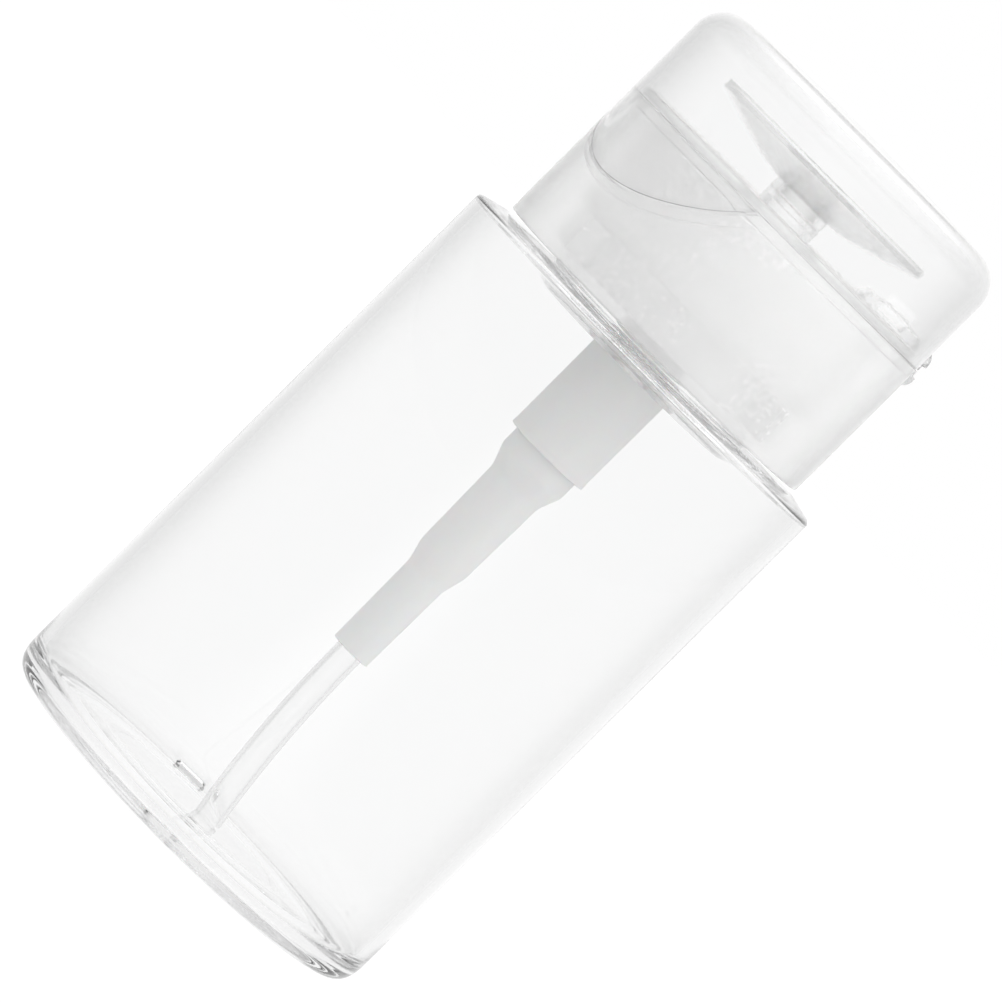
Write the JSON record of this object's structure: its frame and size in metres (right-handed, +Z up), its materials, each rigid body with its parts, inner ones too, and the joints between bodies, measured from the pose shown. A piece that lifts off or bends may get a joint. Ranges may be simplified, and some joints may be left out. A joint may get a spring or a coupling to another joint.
{
  "type": "pump bottle",
  "caption": "Clear cylindrical dispenser bottle with a screw closure, a hinged flip lid with thumb tab, and a press-down dish pump with dip tube under it.",
  "frame": {"origin": "centre of the bottle's base, on the surface that it stands on", "axes": "+Z up along the bottle's axis, -Y towards the thumb tab of the lid, +Y towards the lid's hinge"},
  "size_m": [0.06, 0.06, 0.1255],
  "materials": {
    "clear_bottle": "clear, glossy",
    "clear_tube": "clear, slightly hazy",
    "seal": "soft natural polyethylene",
    "frosted": "natural translucent polypropylene, satin",
    "pump_white": "off-white, satin",
    "steel": "plain stainless"
  },
  "bodies": {
    "bottle": {"bottle": "clear_bottle"},
    "pump": {"neck_gasket": "seal", "guide_tube": "frosted", "stem_seal": "seal", "pump_cylinder": "pump_white", "dip_tube": "clear_tube", "return_spring": "steel"},
    "collar": {"screw_cap": "frosted", "collar_shell": "frosted", "living_hinge": "frosted"},
    "lid": {"flip_lid": "frosted"},
    "press": {"press_dish": "frosted", "outlet_insert": "pump_white", "plunger": "pump_white", "piston": "seal"},
    "inlet_ball": {"inlet_ball": "steel"},
    "outlet_ball": {"outlet_ball": "steel"}
  },
  "joints": [
    {"name": "closure_lift", "type": "slide", "parent": "bottle", "child": "pump", "axis": [0, 0, 1], "range_m": [0, 0.0048]},
    {"name": "closure_turn", "type": "hinge", "parent": "pump", "child": "collar", "pos_m": [0, 0, 0.095], "axis": [0, 0, 1], "range_deg": [0, 540]},
    {"name": "lid_hinge", "type": "hinge", "parent": "collar", "child": "lid", "pos_m": [0, 0.02643, 0.1084], "axis": [-1, 0, 0], "range_deg": [0, 130], "deforming": ["living_hinge"]},
    {"name": "press_slide", "type": "slide", "parent": "pump", "child": "press", "axis": [0, 0, -1], "range_m": [0, 0.0032], "stiffness_N_per_m": 300, "springref_m": -0.005, "deforming": ["return_spring"]},
    {"name": "inlet_ball_lift", "type": "slide", "parent": "pump", "child": "inlet_ball", "axis": [0, 0, 1], "range_m": [0, 0.0006]},
    {"name": "outlet_ball_lift", "type": "slide", "parent": "press", "child": "outlet_ball", "axis": [0, 0, 1], "range_m": [0, 0.0008]}
  ],
  "couplings": [
    {"joint": "closure_lift", "follows": "closure_turn", "m_per_rad": 0.00050611}
  ]
}
